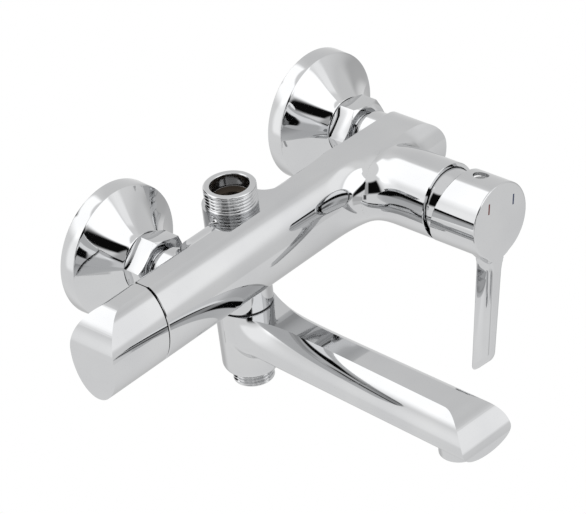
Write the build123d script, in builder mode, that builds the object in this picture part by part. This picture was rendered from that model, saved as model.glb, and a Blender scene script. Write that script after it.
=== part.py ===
"""Wall mounted bath faucet: named pieces in one shared frame, in millimetres, +Z up.

The origin lies on the finished wall, midway between the two water inlets. X runs along the
wall to the right, Y runs into the wall and Z runs up. A depth is a distance from the wall
into the room, so it is counted along -Y. A height is counted from the faucet's own axis.
"""

import math
import os

from build123d import *

os.makedirs("parts", exist_ok=True)

# Fits
thread_fit = 0.05
running_fit = 0.05
seat_gap = 0.2

# Wall connection
inlet_spacing = 150.0
union_offset = 6.0
wall_thread_r = 10.48
wall_thread_length = 16.0
union_thread_r = 13.1
union_straight = 4.0
union_bend = 10.0
water_bore_r = 6.5
nut_back = 24.4
nut_front = 36.5
nut_across = 30.0
nut_wall = 2.5
nut_chamfer = 1.3
nut_turns = {"left": -17.2, "right": -7.2}
gasket_thick = 2.0
flange_thick = 2.5
sleeve_r = 10.0
sleeve_front = 40.0
sleeve_thread_r = 9.2
sleeve_thread_length = 12.0
escutcheon_r = 34.9
escutcheon_draft = 0.3
escutcheon_band = 8.7
escutcheon_front = 23.8
escutcheon_wall = 1.3
trumpet_front_r = 15.3
trumpet_mid_r = 23.6
trumpet_mid_depth = 15.0

# Body: an upright oval tube whose flat top bends down to the right
body_left = -113.0
body_right = 90.5
axis_depth = 61.7
body_depth = 29.0
body_height = 44.0
flat_height = 21.2
flat_end_height = 14.6
knee_x = -5.0
knee_r = 300.0
end_bend_r = 18.0
inlet_boss_r = 12.5
gallery_r = 8.5

# Riser boss on top of the body and spout neck below it
riser_x = -35.3
riser_depth = 47.1
neck_r = 14.7
neck_bottom = 36.2
ledge_blend_r = 6.0
ledge_reach = 25.0
riser_thread_r = 13.2
riser_thread_length = 9.8
riser_spigot_r = 10.4
riser_spigot_length = 9.0
riser_bore_r = 9.8
seal_thick = 1.6

# Horn that holds the mixing cartridge
horn_x = 46.8
horn_r = 19.85
horn_front = 114.0
flare_depth = 16.0
flare_left = 16.0
flare_right = 6.0
flare_drop = 3.2
flare_steps = 5
chamber_back = 82.0
cartridge_r = 14.0
lock_nut_r = 16.2
lock_nut_back = 104.6
lock_nut_front = 110.0
lock_nut_bore_r = 12.2
cover_r = 17.6
cover_wall = 1.2
cover_seat = 108.0
cover_gap = 0.4
cover_cut = 12.0
turret_r = 10.4
turret_back = 99.0
turret_base = 6.0
turret_front = 115.0
pivot_depth = 112.0
pin_r = 1.5
pin_length = 18.0
spindle_width = 8.0
spindle_height = 7.0
spindle_tail = 5.5
spindle_front = 139.0
port_ring_r = 7.0
port_r = 2.2

# Lever handle, shown a little off its middle position
handle_turn = 11.3
hood_r = 20.0
hood_inner_r = 18.2
hood_face = 146.6
hood_front_wall = 4.6
hood_back_low = 114.6
hood_back_high = 124.7
hub_r = 8.0
hub_back = 129.6
lever_depth = 10.5
lever_front_length = 75.0
lever_rear_length = 85.0
lever_root_half = 4.8
lever_tip_half = 3.05
lever_blend_r = 5.0
lever_tip_r = 1.2
dish_r = 16.0
dish_deep = 0.9
dish_start = 34.0
screw_depth = 133.2
screw_r = 2.45
screw_boss_r = 4.6
screw_top = 12.5
plug_r = 4.05
plug_floor = 16.2
mark_width = 1.1
mark_height = 5.6
mark_inset = 0.5
mark_x = 9.3
mark_z = 8.7

# Diverter knob on the body's left end
knob_left = -150.7
knob_seam = 0.6
knob_bend_r = 19.5
knob_wall = 3.0
knob_pocket = 17.0
knob_hub_r = 7.5
stem_r = 4.0
stem_reach = 15.0
diverter_r = 9.5
diverter_length = 33.0
diverter_nut_r = 11.4
diverter_nut_thick = 6.0
knob_screw_r = 2.0
knob_screw_x = -121.0
knob_screw_length = 6.0

# Swivelling spout
spout_turn = 2.7
hub_top_r = 15.2
hub_bottom_r = 14.9
spout_seam = 0.6
hub_bottom = 75.0
hub_edge_r = 5.0
spout_reach = 160.0
arm_root_half = 14.7
arm_tip_half = 16.7
arm_belly = 53.0
arm_bottom = 60.0
arm_crown = 36.0
arm_flat = 37.6
tip_bend_r = 20.0
waterway_drop = 50.0
pivot_r = 9.0
pivot_top = 25.0
pivot_bottom = 74.6
pivot_bore_r = 6.0
window_r = 3.0
chamber_r = 11.5
chamber_height = 16.0
ring_section_r = 0.9
ring_drops = (41.5, 67.0)
glide_r = 14.2
hose_thread_r = 10.48
hose_thread_length = 7.0
hose_bore_r = 4.0
aerator_setback = 18.5
aerator_r = 10.6
aerator_top = 50.0
aerator_bottom = 66.0
aerator_wall = 1.5
aerator_lip = 2.0
insert_height = 9.0
jet_r = 0.8
jet_ring_r = 5.5

# Shared reference planes and angles
axis_z = -union_offset
ledge_flat_half = 0.98 * body_depth / 2 * math.sqrt(1 - (2 * flat_height / body_height) ** 2)
inlet_x = inlet_spacing / 2
union_end = nut_front - nut_wall - flange_thick - gasket_thick
flange_front = nut_front - nut_wall
rising = (Align.CENTER, Align.CENTER, Align.MIN)
turn = math.radians(handle_turn)
handle_right = (math.cos(turn), 0, -math.sin(turn))
handle_up = (math.sin(turn), 0, math.cos(turn))
handle_left = (-math.cos(turn), 0, math.sin(turn))
horn_front_plane = Plane(origin=(horn_x, 0, axis_z), x_dir=(1, 0, 0), z_dir=(0, -1, 0))
handle_plane = Plane(origin=(horn_x, 0, axis_z), x_dir=handle_right, z_dir=(0, -1, 0))
handle_side = Plane(origin=(horn_x, 0, axis_z), x_dir=(0, -1, 0), z_dir=handle_left)
screw_plane = Plane(origin=(horn_x, -screw_depth, axis_z), x_dir=handle_right, z_dir=handle_up)
swing = math.radians(spout_turn)
arm_right = (math.cos(swing), -math.sin(swing), 0)
arm_out = (-math.sin(swing), -math.cos(swing), 0)
arm_left = (-math.cos(swing), math.sin(swing), 0)
spout_origin = (riser_x, -riser_depth, axis_z)
spout_plan = Plane(origin=spout_origin, x_dir=arm_right, z_dir=(0, 0, 1))
spout_front = Plane(origin=spout_origin, x_dir=arm_right, z_dir=arm_out)
spout_side = Plane(origin=spout_origin, x_dir=arm_out, z_dir=arm_left)
body_section = Plane(origin=(0, -axis_depth, axis_z), x_dir=(0, 1, 0), z_dir=(1, 0, 0))
riser_axis = Plane(origin=spout_origin, x_dir=(1, 0, 0), z_dir=(0, 0, 1))

# Wall unions, nuts and escutcheons, once for each inlet
for side, inlet in (("left", -inlet_x), ("right", inlet_x)):
    wall_plane = Plane(origin=(inlet, 0, 0), x_dir=(1, 0, 0), z_dir=(0, -1, 0))
    inlet_plane = Plane(origin=(inlet, 0, axis_z), x_dir=(1, 0, 0), z_dir=(0, -1, 0))
    inlet_profile = Plane(origin=(inlet, 0, axis_z), x_dir=(1, 0, 0), z_dir=(0, 0, 1))
    inlet_axis = Axis((inlet, 0, axis_z), (0, 1, 0))
    thread_start = union_straight + union_bend

    with BuildPart() as eccentric_union:
        with Locations(wall_plane.offset(-wall_thread_length)):
            Cylinder(wall_thread_r, wall_thread_length + union_straight, align=rising)
        with BuildSketch(wall_plane.offset(union_straight)):
            Circle(wall_thread_r)
        with BuildSketch(inlet_plane.offset(thread_start)):
            Circle(union_thread_r)
        loft()
        with Locations(inlet_plane.offset(thread_start)):
            Cylinder(union_thread_r, union_end - thread_start, align=rising)
        with Locations(wall_plane.offset(-wall_thread_length)):
            Cylinder(water_bore_r, wall_thread_length + union_bend, align=rising, mode=Mode.SUBTRACT)
        with Locations(inlet_plane.offset(union_bend)):
            Cylinder(water_bore_r, union_end - union_bend, align=rising, mode=Mode.SUBTRACT)
    eccentric_union.part.label = side + "_eccentric_union"
    export_step(eccentric_union.part, "parts/" + side + "_eccentric_union.step")

    with BuildPart() as escutcheon:
        bore_r = union_thread_r + thread_fit
        rim_r = escutcheon_r - escutcheon_draft
        with BuildSketch(inlet_profile):
            with BuildLine():
                Line((escutcheon_r - escutcheon_wall, 0), (escutcheon_r, 0))
                Line((escutcheon_r, 0), (rim_r, -escutcheon_band))
                ThreePointArc(
                    (rim_r, -escutcheon_band),
                    (trumpet_mid_r, -trumpet_mid_depth),
                    (trumpet_front_r, -escutcheon_front),
                )
                Line((trumpet_front_r, -escutcheon_front), (bore_r, -escutcheon_front))
                Line((bore_r, -escutcheon_front), (bore_r, escutcheon_wall - escutcheon_front))
                ThreePointArc(
                    (bore_r, escutcheon_wall - escutcheon_front),
                    (trumpet_mid_r - escutcheon_wall, escutcheon_wall - trumpet_mid_depth),
                    (rim_r - escutcheon_wall, escutcheon_wall - escutcheon_band),
                )
                Line(
                    (rim_r - escutcheon_wall, escutcheon_wall - escutcheon_band),
                    (escutcheon_r - escutcheon_wall, 0),
                )
            make_face()
        revolve(axis=inlet_axis)
    escutcheon.part.label = side + "_escutcheon"
    export_step(escutcheon.part, "parts/" + side + "_escutcheon.step")

    with BuildPart() as union_nut:
        with BuildSketch(inlet_plane.offset(nut_back)):
            RegularPolygon(nut_across / 2, 6, major_radius=False, rotation=nut_turns[side])
        extrude(amount=nut_front - nut_back)
        corner_r = nut_across / 2 / math.cos(math.pi / 6)
        with BuildSketch(inlet_profile):
            Polygon(
                (0, -nut_back),
                (corner_r - 2 * nut_chamfer, -nut_back),
                (corner_r, -nut_back - nut_chamfer),
                (corner_r, nut_chamfer - nut_front),
                (corner_r - 2 * nut_chamfer, -nut_front),
                (0, -nut_front),
                align=None,
            )
        revolve(axis=inlet_axis, mode=Mode.INTERSECT)
        with Locations(inlet_plane.offset(nut_back)):
            Cylinder(
                union_thread_r + thread_fit,
                flange_front - nut_back,
                align=rising,
                mode=Mode.SUBTRACT,
            )
        with Locations(inlet_plane.offset(nut_back)):
            Cylinder(sleeve_r + 2 * seat_gap, nut_front, align=rising, mode=Mode.SUBTRACT)
    union_nut.part.label = side + "_union_nut"
    export_step(union_nut.part, "parts/" + side + "_union_nut.step")

    with BuildPart() as union_gasket:
        with BuildSketch(inlet_plane.offset(union_end)):
            Circle(union_thread_r - seat_gap)
            Circle(water_bore_r, mode=Mode.SUBTRACT)
        extrude(amount=gasket_thick)
    union_gasket.part.label = side + "_union_gasket"
    export_step(union_gasket.part, "parts/" + side + "_union_gasket.step")

    with BuildPart() as inlet_sleeve:
        with Locations(inlet_plane.offset(flange_front - flange_thick)):
            Cylinder(union_thread_r - seat_gap, flange_thick, align=rising)
        with Locations(inlet_plane.offset(flange_front)):
            Cylinder(sleeve_r, sleeve_front - flange_front, align=rising)
        with Locations(inlet_plane.offset(sleeve_front)):
            Cylinder(sleeve_thread_r, sleeve_thread_length, align=rising)
        with Locations(inlet_plane):
            Cylinder(water_bore_r, horn_front, align=rising, mode=Mode.SUBTRACT)
    inlet_sleeve.part.label = side + "_inlet_sleeve"
    export_step(inlet_sleeve.part, "parts/" + side + "_inlet_sleeve.step")

# The cast body
with BuildPart() as mixer_body:
    with BuildSketch(body_section.offset(body_left)):
        Ellipse(body_depth / 2, body_height / 2)
    extrude(amount=body_right - body_left)
    with BuildSketch(Plane.XZ.offset(axis_depth - body_depth)) as body_outline:
        Polygon(
            (body_left, axis_z - body_height),
            (body_left, axis_z + flat_height),
            (knee_x, axis_z + flat_height),
            (body_right, axis_z + flat_end_height),
            (body_right, axis_z - body_height),
            align=None,
        )
        corners = body_outline.vertices()
        fillet(corners.sort_by_distance((knee_x, axis_z + flat_height))[0], knee_r)
        corners = body_outline.vertices()
        fillet(corners.sort_by_distance((body_right, axis_z + flat_end_height))[0], end_bend_r)
    extrude(amount=2 * body_depth, mode=Mode.INTERSECT)

    # Inlet bosses at the back
    for inlet in (-inlet_x, inlet_x):
        with Locations(Plane(origin=(inlet, -axis_depth, axis_z), z_dir=(0, 1, 0))):
            Cylinder(inlet_boss_r, axis_depth - sleeve_front, align=rising)

    # Riser ledge, level with the top flat, and the spout neck below
    with BuildSketch(riser_axis) as ledge:
        strip_back = riser_depth - axis_depth + ledge_flat_half
        with Locations((-ledge_flat_half, strip_back - ledge_flat_half)):
            Rectangle(2 * ledge_reach + ledge_flat_half, 2 * ledge_flat_half)
        Circle(neck_r)
        inside = [v for v in ledge.vertices() if abs(v.X) < neck_r and abs(v.Y - strip_back) < 0.01]
        fillet(inside, ledge_blend_r)
    extrude(amount=flat_height)
    with Locations(riser_axis.offset(-neck_bottom)):
        Cylinder(neck_r, neck_bottom, align=rising)

    # Horn, flaring into the body along a quarter circle
    flare_front = axis_depth + body_depth / 2 + flare_depth
    for step in range(flare_steps):
        along = step / (flare_steps - 1)
        spread = 1 - math.sqrt(1 - (0.98 * along) ** 2)
        with BuildSketch(horn_front_plane.offset(flare_front - along * flare_depth)):
            with Locations(((flare_right - flare_left) / 2 * spread, 0)):
                Ellipse(
                    horn_r + (flare_left + flare_right) / 2 * spread,
                    horn_r - flare_drop * spread,
                )
    loft()
    with BuildSketch(horn_front_plane.offset(axis_depth)):
        with Locations(((flare_right - flare_left) / 2 * spread, 0)):
            Ellipse(
                horn_r + (flare_left + flare_right) / 2 * spread,
                horn_r - flare_drop * spread,
            )
    extrude(amount=flare_front - flare_depth - axis_depth)
    with Locations(horn_front_plane.offset(axis_depth)):
        Cylinder(horn_r - flare_drop, horn_front - axis_depth, align=rising)
    with Locations(horn_front_plane.offset(flare_front)):
        Cylinder(horn_r, horn_front - flare_front, align=rising)

    # Cartridge chamber, lock nut thread and cover seat
    with Locations(horn_front_plane.offset(chamber_back)):
        Cylinder(cartridge_r + seat_gap, horn_front, align=rising, mode=Mode.SUBTRACT)
    with Locations(horn_front_plane.offset(lock_nut_back - flange_thick)):
        Cylinder(lock_nut_r + thread_fit, horn_front, align=rising, mode=Mode.SUBTRACT)
    with Locations(horn_front_plane.offset(cover_seat)):
        Cylinder(cover_r + cover_gap, horn_front, align=rising, mode=Mode.SUBTRACT)
    with BuildSketch(horn_front_plane.offset(chamber_back)):
        with PolarLocations(port_ring_r, 3, 90):
            Circle(port_r)
    extrude(amount=port_ring_r - chamber_back + axis_depth, mode=Mode.SUBTRACT)

    # Inlet, diverter, riser and neck sockets
    for inlet in (-inlet_x, inlet_x):
        with Locations(Plane(origin=(inlet, -sleeve_front, axis_z), z_dir=(0, -1, 0))):
            Cylinder(
                sleeve_thread_r + thread_fit,
                sleeve_thread_length + seat_gap,
                align=rising,
                mode=Mode.SUBTRACT,
            )
    with Locations(body_section.offset(body_left)):
        Cylinder(diverter_nut_r + thread_fit, diverter_nut_thick, align=rising, mode=Mode.SUBTRACT)
        Cylinder(
            diverter_r + seat_gap,
            diverter_nut_thick + diverter_length + seat_gap,
            align=rising,
            mode=Mode.SUBTRACT,
        )
    with Locations(riser_axis.offset(flat_height - riser_spigot_length - seal_thick)):
        Cylinder(riser_spigot_r + thread_fit, body_height, align=rising, mode=Mode.SUBTRACT)
    with Locations(riser_axis.offset(-pivot_top)):
        Cylinder(water_bore_r, pivot_top + flat_height, align=rising, mode=Mode.SUBTRACT)
    gallery_left = body_left + diverter_nut_thick + diverter_length
    with Locations(body_section.offset(gallery_left)):
        Cylinder(gallery_r, horn_x - gallery_left, align=rising, mode=Mode.SUBTRACT)
    with Locations(riser_axis.offset(-neck_bottom)):
        Cylinder(pivot_r + thread_fit, neck_bottom - pivot_top, align=rising, mode=Mode.SUBTRACT)
mixer_body.part.label = "mixer_body"
export_step(mixer_body.part, "parts/mixer_body.step")

# Shower riser outlet
with BuildPart() as riser_nipple:
    with Locations(riser_axis.offset(flat_height)):
        Cylinder(riser_thread_r, riser_thread_length, align=rising)
    chamfer(riser_nipple.edges().sort_by(Axis.Z)[-1], 0.8)
    with Locations(riser_axis.offset(flat_height - riser_spigot_length)):
        Cylinder(riser_spigot_r, riser_spigot_length, align=rising)
        Cylinder(water_bore_r, body_height, align=rising, mode=Mode.SUBTRACT)
    with Locations(riser_axis.offset(flat_height + gasket_thick)):
        Cylinder(riser_bore_r, riser_thread_length, align=rising, mode=Mode.SUBTRACT)
riser_nipple.part.label = "riser_nipple"
export_step(riser_nipple.part, "parts/riser_nipple.step")

with BuildPart() as riser_seal:
    with BuildSketch(riser_axis.offset(flat_height - riser_spigot_length - seal_thick)):
        Circle(riser_spigot_r)
        Circle(water_bore_r, mode=Mode.SUBTRACT)
    extrude(amount=seal_thick)
riser_seal.part.label = "riser_seal"
export_step(riser_seal.part, "parts/riser_seal.step")

# Mixing cartridge and what holds it in the horn
with BuildPart() as mixing_cartridge:
    base_depth = chamber_back + seal_thick / 2
    with Locations(horn_front_plane.offset(base_depth)):
        Cylinder(cartridge_r, lock_nut_back - base_depth, align=rising)
    with Locations(horn_front_plane.offset(lock_nut_back)):
        Cylinder(lock_nut_bore_r - 0.3, lock_nut_front - lock_nut_back + 1, align=rising)
    with Locations(horn_front_plane.offset(turret_back - seat_gap)):
        Cylinder(turret_r + running_fit, horn_front, align=rising, mode=Mode.SUBTRACT)
    with BuildSketch(horn_front_plane.offset(base_depth)):
        with PolarLocations(port_ring_r, 3, 90):
            Circle(port_r)
    extrude(amount=port_ring_r, mode=Mode.SUBTRACT)
    with BuildSketch(horn_front_plane.offset(base_depth)):
        with PolarLocations(port_ring_r, 3, 90):
            Circle(port_r + seal_thick)
    extrude(amount=seal_thick / 2, mode=Mode.SUBTRACT)
mixing_cartridge.part.label = "mixing_cartridge"
export_step(mixing_cartridge.part, "parts/mixing_cartridge.step")

with BuildPart() as cartridge_seals:
    with BuildSketch(horn_front_plane.offset(chamber_back)):
        with PolarLocations(port_ring_r, 3, 90):
            Circle(port_r + seal_thick - thread_fit)
            Circle(port_r, mode=Mode.SUBTRACT)
    extrude(amount=seal_thick)
cartridge_seals.part.label = "cartridge_seals"
export_step(cartridge_seals.part, "parts/cartridge_seals.step")

with BuildPart() as cartridge_lock_nut:
    with BuildSketch(horn_front_plane.offset(lock_nut_back)):
        Circle(lock_nut_r)
        Circle(lock_nut_bore_r, mode=Mode.SUBTRACT)
    extrude(amount=lock_nut_front - lock_nut_back)
    with BuildSketch(horn_front_plane.offset(lock_nut_front)):
        with PolarLocations(lock_nut_bore_r, 6):
            Rectangle(4, 3)
    extrude(amount=-gasket_thick, mode=Mode.SUBTRACT)
cartridge_lock_nut.part.label = "cartridge_lock_nut"
export_step(cartridge_lock_nut.part, "parts/cartridge_lock_nut.step")

with BuildPart() as cartridge_cover:
    cover_inner_r = cover_r - cover_wall
    outer_angle = math.degrees(math.asin(cover_cut / cover_r))
    inner_angle = math.degrees(math.asin(cover_cut / cover_inner_r))
    with BuildSketch(Plane(origin=(horn_x, 0, axis_z), x_dir=(1, 0, 0), z_dir=(0, 0, 1))):
        with BuildLine():
            Line((cover_inner_r, -cover_seat), (cover_r, -cover_seat))
            Line((cover_r, -cover_seat), (cover_r, -pivot_depth))
            dome = CenterArc((0, -pivot_depth), cover_r, 0, -outer_angle)
            vault = CenterArc((0, -pivot_depth), cover_inner_r, 0, -inner_angle)
            Line(dome @ 1, vault @ 1)
            Line((cover_inner_r, -pivot_depth), (cover_inner_r, -cover_seat))
        make_face()
    revolve(axis=Axis((horn_x, 0, axis_z), (0, 1, 0)))
cartridge_cover.part.label = "cartridge_cover"
export_step(cartridge_cover.part, "parts/cartridge_cover.step")

with BuildPart() as cartridge_turret:
    with Locations(handle_plane.offset(turret_back)):
        Cylinder(turret_r, turret_front - turret_back, align=rising)
    with BuildSketch(handle_plane.offset(turret_back + turret_base)):
        Rectangle(spindle_width + 2 * running_fit, 3 * turret_r)
    extrude(amount=turret_front, mode=Mode.SUBTRACT)
    with BuildSketch(handle_side):
        with Locations((pivot_depth, 0)):
            Circle(pin_r + running_fit)
    extrude(amount=turret_r, both=True, mode=Mode.SUBTRACT)
cartridge_turret.part.label = "cartridge_turret"
export_step(cartridge_turret.part, "parts/cartridge_turret.step")

with BuildPart() as cartridge_pivot_pin:
    with BuildSketch(handle_side):
        with Locations((pivot_depth, 0)):
            Circle(pin_r)
    extrude(amount=pin_length / 2, both=True)
cartridge_pivot_pin.part.label = "cartridge_pivot_pin"
export_step(cartridge_pivot_pin.part, "parts/cartridge_pivot_pin.step")

with BuildPart() as lever_spindle:
    with BuildSketch(handle_plane.offset(pivot_depth - spindle_tail)):
        Rectangle(spindle_width, spindle_height)
    extrude(amount=spindle_front - pivot_depth + spindle_tail)
    with BuildSketch(handle_side):
        with Locations((pivot_depth, 0)):
            Circle(pin_r + running_fit)
    extrude(amount=spindle_width, both=True, mode=Mode.SUBTRACT)
lever_spindle.part.label = "lever_spindle"
export_step(lever_spindle.part, "parts/lever_spindle.step")

# Handle: a slant-backed hood and a flat lever in one casting
with BuildPart() as lever_handle:
    with Locations(handle_plane.offset(hood_back_low)):
        Cylinder(hood_r, hood_face - hood_back_low, align=rising)
    with BuildSketch(handle_plane.offset(hood_face - lever_depth)) as keyhole:
        Circle(hood_r)
        Polygon(
            (-lever_root_half, 0),
            (-lever_tip_half, -lever_rear_length),
            (lever_tip_half, -lever_rear_length),
            (lever_root_half, 0),
            align=None,
        )
        neck_corners = [v for v in keyhole.vertices() if -hood_r < v.Y < -hood_r / 2]
        fillet(neck_corners, lever_blend_r)
        tip_corners = keyhole.vertices().sort_by(Axis.Y)[:2]
        fillet(tip_corners, lever_tip_r)
    extrude(amount=lever_depth)

    # Slanted tip and slanted back of the hood
    with BuildSketch(handle_side):
        tip_slope = (lever_rear_length - lever_front_length) / lever_depth
        Polygon(
            (hood_face + lever_depth, tip_slope * lever_depth - lever_front_length),
            (hood_back_low, -lever_front_length - tip_slope * (hood_face - hood_back_low)),
            (hood_face + lever_depth, -lever_front_length - 6 * lever_depth),
            align=None,
        )
    extrude(amount=hood_r, both=True, mode=Mode.SUBTRACT)
    with BuildSketch(handle_side):
        Polygon(
            (hood_back_low - 1, -hood_r - 2),
            (hood_back_low, -hood_r),
            (hood_back_high, hood_r),
            (hood_back_high, hood_r + 2),
            (hood_back_low - 1, hood_r + 2),
            align=None,
        )
    extrude(amount=2 * hood_r, both=True, mode=Mode.SUBTRACT)

    # Hollow hood with the spindle hub and the screw boss inside
    cavity_front = hood_face - hood_front_wall
    with Locations(handle_plane.offset(axis_depth)):
        Cylinder(hood_inner_r, cavity_front - axis_depth, align=rising, mode=Mode.SUBTRACT)
    with Locations(handle_plane.offset(hub_back)):
        Cylinder(hub_r, cavity_front - hub_back, align=rising)
    with Locations(screw_plane.offset(spindle_height / 2)):
        Cylinder(screw_boss_r, hood_inner_r - spindle_height / 2 + seat_gap, align=rising)
    with BuildSketch(handle_plane.offset(hub_back)):
        Rectangle(spindle_width + 2 * running_fit, spindle_height + 2 * running_fit)
    extrude(amount=spindle_front - hub_back + seat_gap, mode=Mode.SUBTRACT)
    with Locations(screw_plane):
        Cylinder(screw_r, hood_r, align=rising, mode=Mode.SUBTRACT)
    with Locations(screw_plane.offset(plug_floor)):
        Cylinder(plug_r, hood_r, align=rising, mode=Mode.SUBTRACT)

    # Concave lever sides
    for hand in (-1, 1):
        taper = (lever_root_half - lever_tip_half) / lever_rear_length
        start_half = lever_root_half - taper * dish_start
        middle = hood_face - lever_depth / 2
        start = handle_plane.from_local_coords(
            (hand * (start_half + dish_r - dish_deep), -dish_start, middle)
        )
        end = handle_plane.from_local_coords(
            (hand * (lever_tip_half + dish_r - dish_deep), -lever_rear_length, middle)
        )
        with Locations(Plane(origin=start, z_dir=end - start)):
            Cylinder(dish_r, lever_rear_length, align=rising, mode=Mode.SUBTRACT)
            Sphere(dish_r, mode=Mode.SUBTRACT)

    # Pockets for the two colour marks
    with BuildSketch(handle_plane.offset(hood_face - mark_inset)):
        with Locations((-mark_x, mark_z), (mark_x, mark_z)):
            Rectangle(mark_width + 2 * thread_fit, mark_height + 2 * thread_fit)
    extrude(amount=hood_front_wall, mode=Mode.SUBTRACT)
lever_handle.part.label = "lever_handle"
export_step(lever_handle.part, "parts/lever_handle.step")

with BuildPart() as handle_set_screw:
    screw_foot = spindle_height / 2 + running_fit
    with Locations(screw_plane.offset(screw_foot)):
        Cylinder(screw_r - thread_fit, screw_top - screw_foot, align=rising)
    with BuildSketch(screw_plane.offset(screw_top)):
        RegularPolygon(screw_r / 2, 6)
    extrude(amount=-gasket_thick, mode=Mode.SUBTRACT)
handle_set_screw.part.label = "handle_set_screw"
export_step(handle_set_screw.part, "parts/handle_set_screw.step")

with BuildPart() as handle_plug:
    with Locations(screw_plane.offset(plug_floor)):
        Cylinder(plug_r - thread_fit, hood_r - plug_floor - 1, align=rising)
    with Locations(screw_plane.offset(hood_r + 2 * plug_r)):
        Sphere(2 * plug_r + 1.4, mode=Mode.SUBTRACT)
handle_plug.part.label = "handle_plug"
export_step(handle_plug.part, "parts/handle_plug.step")

with BuildPart() as hot_mark:
    with BuildSketch(handle_plane.offset(hood_face - mark_inset)):
        with Locations((-mark_x, mark_z)):
            Rectangle(mark_width, mark_height)
    extrude(amount=mark_inset)
hot_mark.part.label = "hot_mark"
export_step(hot_mark.part, "parts/hot_mark.step")

with BuildPart() as cold_mark:
    with BuildSketch(handle_plane.offset(hood_face - mark_inset)):
        with Locations((mark_x, mark_z)):
            Rectangle(mark_width, mark_height)
    extrude(amount=mark_inset)
cold_mark.part.label = "cold_mark"
export_step(cold_mark.part, "parts/cold_mark.step")

# Diverter in the body's left end
diverter_right = body_left + diverter_nut_thick + diverter_length
with BuildPart() as diverter_cartridge:
    with Locations(body_section.offset(body_left + diverter_nut_thick)):
        Cylinder(diverter_r, diverter_length, align=rising)
        Cylinder(stem_r + running_fit, stem_reach, align=rising, mode=Mode.SUBTRACT)
    with BuildSketch(body_section.offset(diverter_right)):
        Rectangle(body_depth, diverter_r)
    extrude(amount=-diverter_r, mode=Mode.SUBTRACT)
diverter_cartridge.part.label = "diverter_cartridge"
export_step(diverter_cartridge.part, "parts/diverter_cartridge.step")

with BuildPart() as diverter_lock_nut:
    with BuildSketch(body_section.offset(body_left)):
        Circle(diverter_nut_r)
        RegularPolygon(stem_r + 2, 6, mode=Mode.SUBTRACT)
    extrude(amount=diverter_nut_thick)
diverter_lock_nut.part.label = "diverter_lock_nut"
export_step(diverter_lock_nut.part, "parts/diverter_lock_nut.step")

knob_right = body_left - knob_seam
with BuildPart() as diverter_stem:
    stem_left = knob_right - stem_reach
    stem_right = body_left + diverter_nut_thick + stem_reach - seat_gap
    with Locations(body_section.offset(stem_left)):
        Cylinder(stem_r, stem_right - stem_left, align=rising)
diverter_stem.part.label = "diverter_stem"
export_step(diverter_stem.part, "parts/diverter_stem.step")

with BuildPart() as diverter_knob:
    with BuildSketch(body_section.offset(knob_left)):
        Ellipse(body_depth / 2, body_height / 2)
    extrude(amount=knob_right - knob_left)
    with BuildSketch(Plane.XZ.offset(axis_depth - body_depth)) as knob_outline:
        Polygon(
            (knob_left, axis_z - body_height),
            (knob_left, axis_z + flat_height),
            (knob_right, axis_z + flat_height),
            (knob_right, axis_z - body_height),
            align=None,
        )
        knob_corners = knob_outline.vertices()
        fillet(knob_corners.sort_by_distance((knob_left, axis_z + flat_height))[0], knob_bend_r)
    extrude(amount=2 * body_depth, mode=Mode.INTERSECT)
    with BuildSketch(body_section.offset(knob_right)):
        Ellipse(body_depth / 2 - knob_wall, body_height / 2 - knob_wall - 1)
    extrude(amount=-knob_pocket, mode=Mode.SUBTRACT)
    with Locations(body_section.offset(knob_right - knob_pocket)):
        Cylinder(knob_hub_r, knob_pocket, align=rising)
        Cylinder(stem_r + thread_fit, knob_pocket, align=rising, mode=Mode.SUBTRACT)
    with Locations(Plane(origin=(knob_screw_x, -axis_depth, axis_z), z_dir=(0, 0, -1))):
        Cylinder(knob_screw_r + thread_fit, body_height, align=rising, mode=Mode.SUBTRACT)
diverter_knob.part.label = "diverter_knob"
export_step(diverter_knob.part, "parts/diverter_knob.step")

with BuildPart() as diverter_knob_screw:
    knob_screw_plane = Plane(
        origin=(knob_screw_x, -axis_depth, axis_z - stem_r - running_fit), z_dir=(0, 0, -1)
    )
    with Locations(knob_screw_plane):
        Cylinder(knob_screw_r, knob_screw_length, align=rising)
    with BuildSketch(knob_screw_plane.offset(knob_screw_length)):
        RegularPolygon(knob_screw_r / 2, 6)
    extrude(amount=-gasket_thick, mode=Mode.SUBTRACT)
diverter_knob_screw.part.label = "diverter_knob_screw"
export_step(diverter_knob_screw.part, "parts/diverter_knob_screw.step")

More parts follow.
